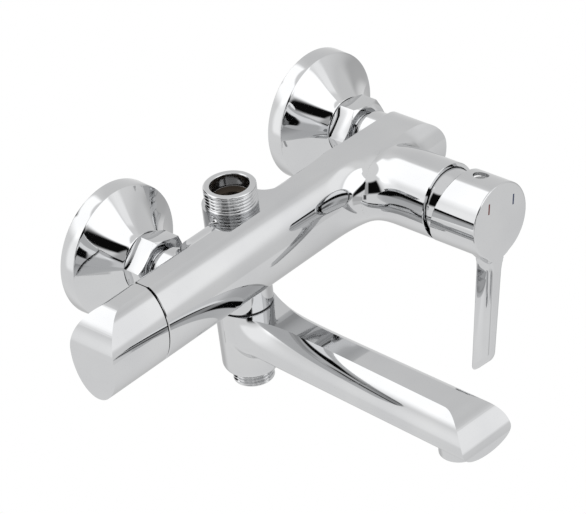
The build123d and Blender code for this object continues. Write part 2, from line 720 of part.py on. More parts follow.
# Spout: a loaf-shaped arm on a vertical hub
with BuildPart() as spout:
    for out, half in ((0, arm_root_half), (spout_reach, arm_tip_half)):
        with BuildSketch(spout_front.offset(out)):
            with BuildLine():
                EllipticalCenterArc((0, -arm_belly), half, arm_belly - arm_crown, 0, arc_size=180)
                EllipticalCenterArc((0, -arm_belly), half, arm_bottom - arm_belly, 180, arc_size=180)
            make_face()
    loft()
    with BuildSketch(spout_side) as arm_outline:
        Polygon(
            (-hub_top_r, -arm_flat),
            (spout_reach, -arm_flat),
            (spout_reach, -hub_bottom),
            (-hub_top_r, -hub_bottom),
            align=None,
        )
        fillet(arm_outline.vertices().sort_by_distance((spout_reach, -arm_flat))[0], tip_bend_r)
    extrude(amount=2 * arm_tip_half, both=True, mode=Mode.INTERSECT)

    # Hub with a rounded lower edge
    hub_top = neck_bottom + spout_seam
    with BuildSketch(spout_plan.offset(-hub_top)):
        Circle(hub_top_r)
    with BuildSketch(spout_plan.offset(-hub_bottom)):
        Circle(hub_bottom_r)
    loft()
    fillet(spout.edges().filter_by(GeomType.CIRCLE).sort_by(Axis.Z)[0], hub_edge_r)

    # Bearing bore, water chamber, waterway and aerator seat
    with Locations(spout_plan.offset(-hub_bottom)):
        Cylinder(pivot_r + running_fit, hub_bottom, align=rising, mode=Mode.SUBTRACT)
    with Locations(spout_plan.offset(-waterway_drop - chamber_height / 2)):
        Cylinder(chamber_r, chamber_height, align=rising, mode=Mode.SUBTRACT)
    arm_reach = spout_reach - aerator_setback
    with BuildSketch(spout_front):
        with Locations((0, -waterway_drop)):
            Circle(water_bore_r)
    extrude(amount=arm_reach, mode=Mode.SUBTRACT)
    aerator_plane = Plane(
        origin=spout_front.from_local_coords((0, 0, arm_reach)), x_dir=arm_right, z_dir=(0, 0, 1)
    )
    with Locations(aerator_plane.offset(-hub_bottom)):
        Cylinder(
            aerator_r + thread_fit,
            hub_bottom - aerator_top + gasket_thick,
            align=rising,
            mode=Mode.SUBTRACT,
        )
spout.part.label = "spout"
export_step(spout.part, "parts/spout.step")

with BuildPart() as spout_pivot:
    with Locations(riser_axis.offset(-pivot_bottom)):
        Cylinder(pivot_r, pivot_bottom - pivot_top, align=rising)
        Cylinder(pivot_bore_r, pivot_bottom, align=rising, mode=Mode.SUBTRACT)
    with BuildSketch(Plane.XZ.offset(riser_depth)):
        with Locations((riser_x, axis_z - waterway_drop)):
            Circle(window_r)
    extrude(amount=pivot_r, both=True, mode=Mode.SUBTRACT)
    for drop in ring_drops:
        with BuildSketch(riser_axis.offset(-drop - 1.2 * ring_section_r)):
            Circle(pivot_r + 1)
            Circle(pivot_r - 2 * ring_section_r - 2 * thread_fit, mode=Mode.SUBTRACT)
        extrude(amount=2.4 * ring_section_r, mode=Mode.SUBTRACT)
spout_pivot.part.label = "spout_pivot"
export_step(spout_pivot.part, "parts/spout_pivot.step")

with BuildPart() as spout_o_rings:
    for drop in ring_drops:
        with Locations(riser_axis.offset(-drop)):
            Torus(pivot_r - ring_section_r - thread_fit, ring_section_r)
spout_o_rings.part.label = "spout_o_rings"
export_step(spout_o_rings.part, "parts/spout_o_rings.step")

with BuildPart() as spout_glide_ring:
    with BuildSketch(riser_axis.offset(-neck_bottom)):
        Circle(glide_r)
        Circle(pivot_r + thread_fit, mode=Mode.SUBTRACT)
    extrude(amount=-spout_seam + running_fit)
spout_glide_ring.part.label = "spout_glide_ring"
export_step(spout_glide_ring.part, "parts/spout_glide_ring.step")

with BuildPart() as hose_nipple:
    nipple_top = hub_bottom + seat_gap
    with Locations(riser_axis.offset(-nipple_top)):
        Cylinder(pivot_bore_r - thread_fit, 12, align=rising)
    with Locations(riser_axis.offset(-nipple_top - hose_thread_length)):
        Cylinder(hose_thread_r, hose_thread_length, align=rising)
    chamfer(hose_nipple.edges().sort_by(Axis.Z)[0], 1)
    with Locations(riser_axis.offset(-hub_bottom - 2 * hose_thread_length)):
        Cylinder(hose_bore_r, body_height, align=rising, mode=Mode.SUBTRACT)
hose_nipple.part.label = "hose_nipple"
export_step(hose_nipple.part, "parts/hose_nipple.step")

# Aerator under the spout's tip
with BuildPart() as aerator_housing:
    with Locations(aerator_plane.offset(-aerator_bottom)):
        Cylinder(aerator_r, aerator_bottom - aerator_top, align=rising)
        Cylinder(
            aerator_r - aerator_wall,
            aerator_bottom - aerator_top - aerator_lip,
            align=rising,
            mode=Mode.SUBTRACT,
        )
        Cylinder(water_bore_r, aerator_bottom, align=rising, mode=Mode.SUBTRACT)
    with BuildSketch(aerator_plane.offset(-aerator_bottom)):
        Rectangle(3 * aerator_r, 3)
    extrude(amount=aerator_lip / 2, mode=Mode.SUBTRACT)
aerator_housing.part.label = "aerator_housing"
export_step(aerator_housing.part, "parts/aerator_housing.step")

with BuildPart() as aerator_insert:
    insert_top = aerator_top + aerator_lip
    with Locations(aerator_plane.offset(-insert_top - insert_height)):
        Cylinder(aerator_r - aerator_wall - thread_fit, insert_height, align=rising)
    with BuildSketch(aerator_plane.offset(-insert_top)):
        Circle(jet_r)
        with PolarLocations(jet_ring_r / 2, 6):
            Circle(jet_r)
        with PolarLocations(jet_ring_r, 12):
            Circle(jet_r)
    extrude(amount=-insert_height, mode=Mode.SUBTRACT)
aerator_insert.part.label = "aerator_insert"
export_step(aerator_insert.part, "parts/aerator_insert.step")

with BuildPart() as aerator_gasket:
    with BuildSketch(aerator_plane.offset(-aerator_top)):
        Circle(aerator_r - thread_fit)
        Circle(water_bore_r, mode=Mode.SUBTRACT)
    extrude(amount=gasket_thick - thread_fit)
aerator_gasket.part.label = "aerator_gasket"
export_step(aerator_gasket.part, "parts/aerator_gasket.step")
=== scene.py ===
# %% [markdown]
# # A wall mounted bath faucet
# Almost everything on this faucet is polished chrome, and a mirror shows every wobble of the
# surface under it. The CAD model gives the places and sizes, but its faces are triangles, so
# the pieces that show are modelled again here with smooth surfaces. The pieces inside keep
# their CAD shape and only get a finish.

import math

import bmesh
import bpy
import numpy as np
from mathutils import Matrix, Vector


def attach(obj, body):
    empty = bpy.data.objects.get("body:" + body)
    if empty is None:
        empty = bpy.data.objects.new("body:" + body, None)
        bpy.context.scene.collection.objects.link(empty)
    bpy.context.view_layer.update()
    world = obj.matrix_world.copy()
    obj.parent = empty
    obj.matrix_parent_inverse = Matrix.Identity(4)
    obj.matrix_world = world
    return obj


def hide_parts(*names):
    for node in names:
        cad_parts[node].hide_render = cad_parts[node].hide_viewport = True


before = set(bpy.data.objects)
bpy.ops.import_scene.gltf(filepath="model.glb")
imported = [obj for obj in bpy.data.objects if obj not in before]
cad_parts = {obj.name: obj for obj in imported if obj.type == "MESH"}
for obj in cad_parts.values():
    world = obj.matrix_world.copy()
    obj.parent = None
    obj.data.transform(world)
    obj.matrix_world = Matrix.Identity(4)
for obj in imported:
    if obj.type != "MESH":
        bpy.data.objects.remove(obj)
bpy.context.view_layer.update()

# %% [markdown]
# ## Shader arithmetic
# Node trees are easier to read as sums than as links. This class wraps an output socket, so
# that `0.04 + 0.03 * grain` adds the Math nodes by itself. Every other node comes from the
# one method `node`, which sets the node's options first and its sockets after.


# %% A socket that can be calculated with
class Tone:
    def __init__(self, tree, socket):
        self.tree = tree
        self.socket = socket

    def node(self, kind, settings=None, sockets=None, out=0):
        made = self.tree.nodes.new(kind)
        for key, value in (settings or {}).items():
            if key == "stops":
                for stop, (place, colour) in zip(made.color_ramp.elements, value):
                    stop.position = place
                    stop.color = colour
            else:
                setattr(made, key, value)
        for key, value in (sockets or {}).items():
            if isinstance(value, Tone):
                self.tree.links.new(value.socket, made.inputs[key])
            else:
                made.inputs[key].default_value = value
        return Tone(self.tree, made.outputs[out]) if made.outputs else made

    def math(self, operation, first, second=0.0):
        return self.node("ShaderNodeMath", {"operation": operation}, {0: first, 1: second})

    def __add__(self, other):
        return self.math("ADD", self, other)

    def __radd__(self, other):
        return self.math("ADD", other, self)

    def __sub__(self, other):
        return self.math("SUBTRACT", self, other)

    def __rsub__(self, other):
        return self.math("SUBTRACT", other, self)

    def __mul__(self, other):
        return self.math("MULTIPLY", self, other)

    def __rmul__(self, other):
        return self.math("MULTIPLY", other, self)


print("shader arithmetic ready")

# %% [markdown]
# ## Finishes
# Polished chrome is a metal with almost no roughness. It isn't white: it gives back a little
# more than half of the light, a bit more in the blue. What makes it look real is slight
# unevenness, faint clouds in the plating and a fine haze where it was wiped, so colour and
# roughness each follow a noise of their own scale. The other finishes are made by the same
# function with other numbers, and most of them get a fine bump on top. Inside the riser's bore
# the colour turns nearly black, with a little brown, and the surface rougher.


# %% One function for all finishes
# The colour inside the riser's bore: nearly black, with a little brown.
BORE_DARK = (0.045, 0.036, 0.028, 1)
CHROME = ((0.60, 0.605, 0.615), (0.64, 0.645, 0.65), 1, (0.02, 0.06), 35, 420)
RISER_BORE = (-0.0353, -0.0471, 0.0099)  # axis and radius in metres
FADE = 0.0003  # metres over which the colour turns to the bore's dark


def finish(name, dark, light, metal, rough, cloud_scale, grain_scale, bump=0.0, bore=None):
    """dark and light are the two colours that the clouds run between, rough the two ends of
    the roughness. The scales count per metre. bore gives an upright axis and a radius, inside
    which the colour turns nearly black and the roughness rises."""
    material = bpy.data.materials.new(name)
    material.use_nodes = True
    tree = material.node_tree
    shader = tree.nodes["Principled BSDF"]
    shader.inputs["Metallic"].default_value = metal
    place = Tone(tree, None).node("ShaderNodeTexCoord", out=3)
    clouds = place.node(
        "ShaderNodeTexNoise", {}, {"Vector": place, "Scale": cloud_scale, "Detail": 3.0}
    )
    grain = place.node(
        "ShaderNodeTexNoise", {}, {"Vector": place, "Scale": grain_scale, "Detail": 4.0}
    )
    colour = place.node(
        "ShaderNodeValToRGB",
        {"stops": ((0.3, (*dark, 1)), (0.7, (*light, 1)))},
        {"Fac": clouds},
    )
    haze = rough[0] + (rough[1] - rough[0]) * grain
    # Inside the bore's radius the colour is mixed to nearly black and the roughness raised.
    if bore:
        east = place.node("ShaderNodeSeparateXYZ", {}, {0: place}, 0) - bore[0]
        north = place.node("ShaderNodeSeparateXYZ", {}, {0: place}, 1) - bore[1]
        reach = place.math("SQRT", east * east + north * north)
        inside = place.node("ShaderNodeMapRange", {}, {
            "Value": reach, "From Min": bore[2], "From Max": bore[2] - FADE})
        colour = place.node("ShaderNodeMix", {"data_type": "RGBA"}, {
            0: inside, 6: colour, 7: BORE_DARK}, 2)
        haze = haze + 0.25 * inside
    tree.links.new(colour.socket, shader.inputs["Base Color"])
    tree.links.new(haze.socket, shader.inputs["Roughness"])
    if bump:
        relief = place.node(
            "ShaderNodeBump", {}, {"Strength": bump, "Distance": 0.0002, "Height": grain}
        )
        tree.links.new(relief.socket, shader.inputs["Normal"])
    return material


finishes = {
    "chrome": finish("chrome", *CHROME),
    "bored_chrome": finish("bored_chrome", *CHROME, bore=RISER_BORE),
    "brass": finish(
        "brass", (0.62, 0.42, 0.17), (0.78, 0.57, 0.27), 1, (0.22, 0.42), 90, 1500, 0.15
    ),
    "steel": finish(
        "steel", (0.44, 0.44, 0.45), (0.56, 0.56, 0.57), 1, (0.18, 0.36), 120, 1800, 0.1
    ),
    "seal_rubber": finish(
        "seal_rubber", (0.012, 0.012, 0.013), (0.03, 0.03, 0.032), 0, (0.5, 0.75), 150, 2600, 0.3
    ),
    "cartridge_plastic": finish(
        "cartridge_plastic", (0.62, 0.62, 0.58), (0.72, 0.72, 0.69), 0, (0.35, 0.5), 80, 1600, 0.1
    ),
    "dark_plastic": finish(
        "dark_plastic", (0.02, 0.02, 0.022), (0.04, 0.04, 0.043), 0, (0.35, 0.55), 90, 1900, 0.15
    ),
    "pale_plastic": finish(
        "pale_plastic", (0.5, 0.51, 0.52), (0.6, 0.61, 0.62), 0, (0.3, 0.45), 90, 1700, 0.1
    ),
    "plug_plastic": finish(
        "plug_plastic", (0.5, 0.505, 0.51), (0.56, 0.565, 0.57), 0, (0.2, 0.32), 160, 1400, 0.05
    ),
    "red_enamel": finish(
        "red_enamel", (0.2, 0.03, 0.025), (0.27, 0.045, 0.035), 0, (0.2, 0.3), 300, 2500, 0.05
    ),
    "blue_enamel": finish(
        "blue_enamel", (0.02, 0.045, 0.13), (0.03, 0.06, 0.18), 0, (0.2, 0.3), 300, 2500, 0.05
    ),
}
print("finishes:", ", ".join(finishes))

# %% [markdown]
# ## Finishes for the CAD pieces
# Every CAD node came with a plain material named after its slot in the record. Swapping that
# material for the finish of the same name is all that the pieces inside need.

# %% Repaint the CAD nodes
slot_of = {}
for name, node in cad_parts.items():
    for place in node.material_slots:
        slot_of[name] = place.material.name.split(".")[0]
        place.material = finishes[slot_of[name]]
print("repainted:", len(slot_of), "CAD nodes")

# %% [markdown]
# ## From a mesh to a piece
# All pieces are modelled in millimetres, in the place where the CAD has them, and made
# metres at the very end. Smooth shading with sharp edges by angle keeps the rims crisp while
# the curved walls stay even.


# %% Helpers for finished pieces
AXIS = -6.0  # height of the faucet's own axis in the frame


def settle(name, bm, body, slot, nodes, crease=32, place=Matrix(), surface=None, coat=None):
    """Makes a bmesh a piece that rides on a body and stands for CAD nodes."""
    mesh = bpy.data.meshes.new(name)
    bm.to_mesh(mesh)
    bm.free()
    mesh.shade_smooth()
    mesh.set_sharp_from_angle(angle=math.radians(crease))
    normals = exact_normals(mesh, surface, place.to_3x3()) if surface else None
    mesh.transform(Matrix.Scale(0.001, 4) @ place)
    if surface:
        mesh.normals_split_custom_set(normals)
    mesh.materials.append(finishes[coat or slot])
    piece = bpy.data.objects.new(name, mesh)
    bpy.context.collection.objects.link(piece)
    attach(piece, body)
    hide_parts(*nodes)
    print(name, "faces", len(mesh.polygons))


def modified(bm, *modifiers):
    """A new bmesh with modifiers applied, each given as its type and its settings."""
    mesh = bpy.data.meshes.new("draft")
    bm.to_mesh(mesh)
    bm.free()
    draft = bpy.data.objects.new("draft", mesh)
    bpy.context.collection.objects.link(draft)
    for kind, settings in modifiers:
        modifier = draft.modifiers.new(kind, kind)
        for key, value in settings.items():
            setattr(modifier, key, value)
    made = bmesh.new()
    made.from_object(draft, bpy.context.evaluated_depsgraph_get())
    bpy.data.objects.remove(draft)
    bpy.data.meshes.remove(mesh)
    return made


print("helpers ready")

# %% [markdown]
# ## Castings
# The body, the knob, the spout and the handle are castings whose parts run into each other
# in soft blends. Subdivision surfaces could give such shapes, but their flats bulge and a
# mirror would show it. So each casting starts from a few overlapping blocks, which the voxel
# Remesh turns into one even skin. Then every vertex is drawn onto the exact surface, which is
# written as a distance: below zero inside, above zero outside. `join` and `melt` add two such
# distances with a fillet, and `cut` keeps what they share, with a rounded edge.


# %% Distances that blend
def join(a, b, r):
    """Two shapes as one, with a hollow fillet of radius r where they meet."""
    return np.maximum(r, np.minimum(a, b)) - np.hypot(np.maximum(r - a, 0), np.maximum(r - b, 0))


def melt(a, b, r):
    """Two shapes as one, with a fillet that sets in as softly as on a polished casting."""
    reach = 1.76 * r  # so that the fillet is as deep as that of join
    near = np.maximum(reach - np.abs(a - b), 0) / reach
    return np.minimum(a, b) - near**3 * reach / 6


def cut(a, b, r):
    """What two shapes have in common, with the edge rounded to radius r."""
    return np.minimum(-r, np.maximum(a, b)) + np.hypot(np.maximum(a + r, 0), np.maximum(b + r, 0))


def eased(value, low, high):
    """0 below low, 1 above high, and an even step in between."""
    part = np.clip((value - low) / (high - low), 0, 1)
    return part * part * (3 - 2 * part)


def oval(across, upright, half_width, half_height):
    """Distance from an upright ellipse."""
    u = across / half_width
    v = upright / half_height
    reach = np.hypot(u, v) + 1e-9
    slope = np.hypot(u / half_width, v / half_height) + 1e-9
    return reach * (reach - 1) / slope


print("distances ready")

# %% [markdown]
# ## Drawing a skin
# Drawing is a Newton step along the slope of the distance, and smoothing in between spreads the
# vertices evenly. The slope also gives the normals for shading. Normals averaged from triangles
# would show as facets in the chrome, and the slope is smooth.

# %% Slopes, normals and skins
STEP = 0.02  # mm, for slopes
ON_SKIN = 0.06  # mm from the surface within which a face counts as drawn


def slope_of(points, surface):
    """The slope of the distance at each point, by small steps both ways."""
    steps = STEP * np.eye(3)
    return np.stack(
        [(surface(*(points + s).T) - surface(*(points - s).T)) / (2 * STEP) for s in steps], axis=1
    )


def drawn(points, surface, rounds):
    """The points moved along the slope of the distance until they lie on the surface."""
    for _ in range(rounds):
        slope = slope_of(points, surface)
        steep = np.sqrt((slope**2).sum(axis=1)) + 1e-6
        move = np.clip(surface(*points.T) / steep, -1, 1) / steep
        points = points - slope * move[:, None]
    return points


def read(items, key, width):
    """One property of all vertices, faces or corners as rows of numbers."""
    rows = np.empty(len(items) * width, dtype=np.float64 if width > 1 else np.int64)
    items.foreach_get(key, rows)
    return rows.reshape(-1, width) if width > 1 else rows


def exact_normals(mesh, surface, turn):
    """Normals for each face corner. On the drawn skin they are the slope of the distance, and
    its border with sawn or bored faces becomes a sharp edge."""
    points = read(mesh.vertices, "co", 3)
    slope = slope_of(points, surface)
    slope /= np.linalg.norm(slope, axis=1)[:, None] + 1e-9
    centres = read(mesh.polygons, "center", 3)
    facing = read(mesh.polygons, "normal", 3)
    middle = slope_of(centres, surface)
    middle /= np.linalg.norm(middle, axis=1)[:, None] + 1e-9
    drawn_face = np.abs(surface(*centres.T)) < ON_SKIN
    drawn_face &= (middle * facing).sum(axis=1) > 0.9
    face_of = np.repeat(np.arange(len(facing)), read(mesh.polygons, "loop_total", 1))
    corner = read(mesh.loops, "vertex_index", 1)
    sides = {}
    for face, edge in zip(face_of, read(mesh.loops, "edge_index", 1)):
        sides.setdefault(edge, []).append(drawn_face[face])
    borders = [e for e, found in sides.items() if len(set(found)) > 1]
    for e in borders:
        mesh.edges[e].use_edge_sharp = True
    normals = read(mesh.corner_normals, "vector", 3)
    close = (slope[corner] * facing[face_of]).sum(axis=1) > 0.8
    chosen = drawn_face[face_of] & close
    normals[chosen] = slope[corner][chosen]
    return (normals @ np.array(turn).T).tolist()


def cast(blocks, surface, voxel, passes=4):
    """One even skin over the blocks, drawn onto the surface."""
    skin = modified(blocks, ("REMESH", {"mode": "VOXEL", "voxel_size": voxel}))
    for turn in range(passes):
        points = drawn(np.array([v.co for v in skin.verts]), surface, 5 if turn else 14)
        for v, place in zip(skin.verts, points):
            v.co = place
        if turn < passes - 1:
            bmesh.ops.smooth_vert(
                skin, verts=skin.verts, factor=0.5,
                use_axis_x=True, use_axis_y=True, use_axis_z=True,
            )
    off = np.abs(surface(*np.array([v.co for v in skin.verts]).T))
    print("skin vertices", len(skin.verts), "mostly within", round(np.percentile(off, 99.5), 4))
    return skin


print("drawing ready")

# %% [markdown]
# ## Sawing and boring castings
# Where a casting ends in a crisp rim it is sawn flat. `bisect_plane` takes the rest away, the
# open rim is filled, and an inset that rises by its own width breaks the edge. A bore is a
# circle inside such a face: bridging the rim to the circle leaves a ring, and extruding the
# circle's edges gives the walls, one step after the other.


# %% Saw and bore
def saw(bm, place, outward, edge=0.0, near=None):
    """Takes away what lies beyond a plane, closes the cut and returns its faces."""
    outward = Vector(outward).normalized()
    verts = [v for v in bm.verts if near is None or near(v.co)]
    chosen = set(verts)
    edges = [e for e in bm.edges if chosen.issuperset(e.verts)]
    faces = [f for f in bm.faces if chosen.issuperset(f.verts)]
    made = bmesh.ops.bisect_plane(
        bm, geom=verts + edges + faces, dist=1e-4, plane_co=Vector(place) - edge * outward,
        plane_no=outward, clear_outer=True,
    )
    rim = [v for v in made["geom_cut"] if isinstance(v, bmesh.types.BMVert)]
    bmesh.ops.remove_doubles(bm, verts=rim, dist=0.15)
    open_edges = [e for e in bm.edges if e.is_boundary]
    caps = bmesh.ops.edgeloop_fill(bm, edges=open_edges)["faces"]
    wrong = [f for f in caps if f.normal.dot(outward) < 0]
    bmesh.ops.reverse_faces(bm, faces=wrong)
    if edge:
        bmesh.ops.inset_region(bm, faces=caps, thickness=edge, depth=edge, use_boundary=True,
                               use_even_offset=True)
    return caps


def bore(bm, cap, centre, inward, steps, closed=True):
    """Bores a hole into a flat face. steps lists each radius with the depth that it reaches."""
    inward = Vector(inward).normalized()
    rim = list(cap.edges)
    bmesh.ops.delete(bm, geom=[cap], context="FACES_ONLY")
    spot = Matrix.Translation(centre) @ inward.to_track_quat("Z", "Y").to_matrix().to_4x4()
    ring = bmesh.ops.create_circle(bm, segments=72, radius=steps[0][0], matrix=spot)["verts"]
    edges = list({e for v in ring for e in v.link_edges})
    bmesh.ops.bridge_loops(bm, edges=rim + edges)
    depth, radius = 0.0, steps[0][0]
    for wide, deep in steps:
        if wide != radius:
            edges, ring = extended(bm, edges)
            middle = Matrix.Translation(-(Vector(centre) + depth * inward))
            bmesh.ops.scale(bm, vec=(wide / radius,) * 3, space=middle, verts=ring)
        edges, ring = extended(bm, edges)
        bmesh.ops.translate(bm, vec=(deep - depth) * inward, verts=ring)
        depth, radius = deep, wide
    if closed:
        bmesh.ops.edgeloop_fill(bm, edges=edges)
    bmesh.ops.recalc_face_normals(bm, faces=bm.faces)
    return edges


def cap_at(bm, place, outward):
    """The largest flat face in a plane that faces outward."""
    place, outward = Vector(place), Vector(outward)
    flat = [
        f for f in bm.faces
        if f.normal.dot(outward) > 0.999
        and abs((f.calc_center_median() - place).dot(outward)) < 0.02
    ]
    return max(flat, key=lambda f: f.calc_area())


def extended(bm, edges):
    """Extrudes a ring of edges and returns the new edges and vertices."""
    made = bmesh.ops.extrude_edge_only(bm, edges=edges)["geom"]
    verts = [g for g in made if isinstance(g, bmesh.types.BMVert)]
    fresh = set(verts)
    ring = [g for g in made if isinstance(g, bmesh.types.BMEdge) and fresh.issuperset(g.verts)]
    return ring, verts


print("saw and bore ready")

# %% [markdown]
# ## The body
# The body is an upright oval tube. Its top is cut off flat, level on the left and falling to
# the right, where it bends down into the end face. The horn for the cartridge flares out of
# its front, wide on the left and tight on the right. The riser stands on a round boss that
# runs down behind the tube as the neck for the spout, and two short bosses take the inlets.
# A round rib behind the tube leads from the left inlet to the riser.

# %% The body's surface
TUBE_Y = -61.7  # the tube's axis
TUBE_HALF = (14.5, 22.0)  # half its depth and half its height
TUBE_BLOCK = (1, 14.4, 21.9)  # the block for it stays a little inside
FLAT = 21.2  # the flat top above the axis
HORN_X = 46.8  # the horn's axis, which is the lever's too
HORN_R = 19.85
RISER = (-35.3, -47.1)  # the riser's axis, which is the spout's too
NECK_R = 14.7
LEDGE_TOP = 23.0  # above the flat, which cuts it off
FILLET = (24.69, -47.9, 10.0)  # beside the riser: distance from its axis, y and radius
INLET_X = 75.0
INLET_R = 12.5
RIB_Y = -52.2
RIB_UP = 13.0  # above the axis
RIB_R = 6.0


def body_surface(x, y, z):
    height = z - AXIS
    depth = -y
    tube = oval(y - TUBE_Y, height, *TUBE_HALF)
    tube = np.maximum(tube, np.maximum(-115.0 - x, x - 93.0))

    low = 2.6 * np.clip((94.0 - depth) / 18.0, 0, 1) ** 2  # the horn dips behind its rim
    horn = oval(x - HORN_X, height, HORN_R, HORN_R - np.where(height > 0, low, 0))
    horn = np.maximum(horn, np.maximum(depth - 116.0, -TUBE_Y - depth))
    leftward = (HORN_X - x) / (np.hypot(x - HORN_X, height) + 1e-6)
    flare = 4.0 + 12.0 * np.maximum(leftward, 0) ** 1.5 + 3.0 * np.maximum(-leftward, 0)

    plan = np.hypot(x - RISER[0], y - RISER[1]) - NECK_R
    neck = np.maximum(plan, np.maximum(height - LEDGE_TOP, -38.0 - height))
    beside = np.abs(x - RISER[0]) - FILLET[0]
    behind = y - FILLET[1]
    web = np.maximum(np.maximum(beside, behind), FILLET[2] - np.hypot(beside, behind))
    ledge = np.maximum(-63.0 - y, np.maximum(height - LEDGE_TOP, -height))
    ledge = np.maximum(np.minimum(plan, web), ledge)

    inlet = np.hypot(np.abs(x) - INLET_X, height) - INLET_R
    inlet = np.maximum(inlet, np.maximum(38.0 - depth, depth + TUBE_Y))

    past = x - np.clip(x, -70.0, RISER[0])  # 0 between the rib's two ends
    rib = np.sqrt(past**2 + (y - RIB_Y) ** 2 + (height - RIB_UP) ** 2) - RIB_R

    body = melt(tube, horn, flare)
    body = join(body, neck, 2.0)
    body = join(body, inlet, 2.5)
    body = join(body, rib, 3.0)
    return np.minimum(body, ledge)


print("body surface ready")

# %% [markdown]
# ## The body's blocks
# The blocks only have to lie near the surface, because drawing moves their skin by a few
# millimetres at most. Most stay a little inside the shape that they stand for. The squeezed
# cone behind the horn gives the flare enough skin to spread on.


# %% The body's blocks and skin
def rod(bm, radius, start, end, segments=64, far_radius=None, squeeze=None):
    """A round block between two points, as a start for a casting."""
    start, end = Vector(start), Vector(end)
    turn = (end - start).to_track_quat("Z", "Y").to_matrix().to_4x4()
    made = bmesh.ops.create_cone(
        bm, cap_ends=True, segments=segments, radius1=radius,
        radius2=radius if far_radius is None else far_radius, depth=(end - start).length,
    )["verts"]
    bmesh.ops.transform(bm, matrix=Matrix.Translation((start + end) / 2) @ turn, verts=made)
    if squeeze:
        bmesh.ops.scale(bm, vec=squeeze, space=Matrix.Translation(-start), verts=made)


blocks = bmesh.new()
rod(blocks, 1.0, (-115, TUBE_Y, AXIS), (93, TUBE_Y, AXIS), 96, squeeze=TUBE_BLOCK)
rod(blocks, 14.6, (*RISER, AXIS - 38), (*RISER, AXIS + LEDGE_TOP))
for wide, deep, y in ((32, 10, -56), (46, 5.5, -59.25)):
    ledge = bmesh.ops.create_cube(blocks, size=1.0)["verts"]
    size = Matrix.Diagonal((wide, deep, 21, 1))
    bmesh.ops.transform(
        blocks, matrix=Matrix.Translation((RISER[0], y, AXIS + 12.5)) @ size, verts=ledge
    )
for side in (-INLET_X, INLET_X):
    rod(blocks, 12.4, (side, TUBE_Y, AXIS), (side, -38, AXIS))
rod(blocks, 5.8, (-74.5, RIB_Y, AXIS + RIB_UP), (RISER[0], RIB_Y, AXIS + RIB_UP))
rod(blocks, 19.6, (HORN_X, -76, AXIS), (HORN_X, -116, AXIS), 96)
flare_start, flare_end = (HORN_X - 3.0, -74, AXIS), (HORN_X, -88, AXIS)
rod(blocks, 24.0, flare_start, flare_end, 96, 20.0, squeeze=(1, 1, 0.68))
body = cast(blocks, body_surface, 0.64)

# %% [markdown]
# ## Cutting the flat top
# The flat on top is a cut through the finished skin: level, then falling to the right and bent
# down over the end. A Boolean with a block whose underside has that line leaves a crisp edge
# all along, which no voxel skin could give.


# %% A cutter from a line
def cutter(line, across, start, end):
    """A block between two places on an axis, whose outline is a line of points. across turns
    a point of the line and a place on the axis into a point in space."""
    bm = bmesh.new()
    face = bm.faces.new([bm.verts.new(across(u, v, start)) for u, v in line])
    made = bmesh.ops.extrude_face_region(bm, geom=[face])["geom"]
    shift = Vector(across(0, 0, end)) - Vector(across(0, 0, start))
    bmesh.ops.translate(bm, vec=shift, verts=[g for g in made if isinstance(g, bmesh.types.BMVert)])
    bmesh.ops.recalc_face_normals(bm, faces=bm.faces)
    return bm


def arc(centre, radius, start, end, count):
    """Points of an arc, from one angle to another in degrees."""
    turns = [math.radians(start + (end - start) * i / count) for i in range(count + 1)]
    return [(centre[0] + radius * math.cos(t), centre[1] + radius * math.sin(t)) for t in turns]


def other(bm):
    """A bmesh as an object of its own, to cut or intersect another one with."""
    mesh = bpy.data.meshes.new("tool")
    bm.to_mesh(mesh)
    bm.free()
    tool = bpy.data.objects.new("tool", mesh)
    bpy.context.collection.objects.link(tool)
    return tool


def less(bm, tool):
    """A bmesh with a second one taken away. The fast solver suits the dense skins."""
    tool = other(tool)
    made = modified(bm, ("BOOLEAN", {"operation": "DIFFERENCE", "object": tool, "solver": "FAST"}))
    bpy.data.objects.remove(tool)
    return made


FALL = 0.0691  # the flat's slope on the right
KNEE = (-12.0, 1.8)  # where the flat turns from level to falling
KNEE_R = 200
KNEE_UP = 20.724  # the flat above the axis at the knee's right end
RUN = 70.7  # from there to the middle of the bend
BEND_X = 72.5
BEND_R = 18.0
fall = math.degrees(math.atan(FALL))
knee = [(x, AXIS + FLAT - (x - KNEE[0]) ** 2 / (2 * KNEE_R)) for x in np.linspace(*KNEE, 13)]
bend_z = AXIS + KNEE_UP - FALL * RUN - BEND_R / math.cos(math.radians(fall))
bend = arc((BEND_X, bend_z), BEND_R, 90 - fall, 0, 28)
line = [(-130.0, AXIS + FLAT), *knee, *bend, (BEND_X + BEND_R, -60.0)]
line += [(130.0, -60.0), (130.0, 60.0), (-130.0, 60.0)]
flat_top = cutter(line, lambda u, v, y: (u, y, v), -76.6, -25.0)
print("flat top line of", len(line), "points")

# %% [markdown]
# ## The body's ends and bores
# The ends at the knob, at the cartridge, at the spout and at the two inlets are sawn flat before
# the top is cut, so that each is one face. The bores start in these faces. They take the two
# cartridges and the spout's pivot.

# %% The body cut, sawn and bored
KNOB_END = (-113, TUBE_Y, AXIS)
HORN_END = (HORN_X, -114, AXIS)
FOOT_END = (*RISER, AXIS - 36.2)
saw(body, KNOB_END, (-1, 0, 0), 0.4)
saw(body, HORN_END, (0, -1, 0), 0.3)
saw(body, FOOT_END, (0, 0, -1), 0.3)
for side in (-INLET_X, INLET_X):
    saw(
        body, (side, -40, AXIS), (0, 1, 0), 0.4,
        near=lambda p: abs(p.x - side) < 15 and p.y > -47 and abs(p.z - AXIS) < 15,
    )
body = less(body, flat_top)
for end, inward, steps in (
    (KNOB_END, (1, 0, 0), [(11.45, 6.0), (9.7, 39.2)]),
    (HORN_END, (0, 1, 0), [(18.0, 6.0), (16.25, 11.9), (14.2, 32.0)]),
    (FOOT_END, (0, 0, 1), [(9.05, 11.2)]),
):
    bore(body, cap_at(body, end, -Vector(inward)), end, inward, steps)
settle("body_casting", body, "faucet", "chrome", ["mixer_body"], surface=body_surface)

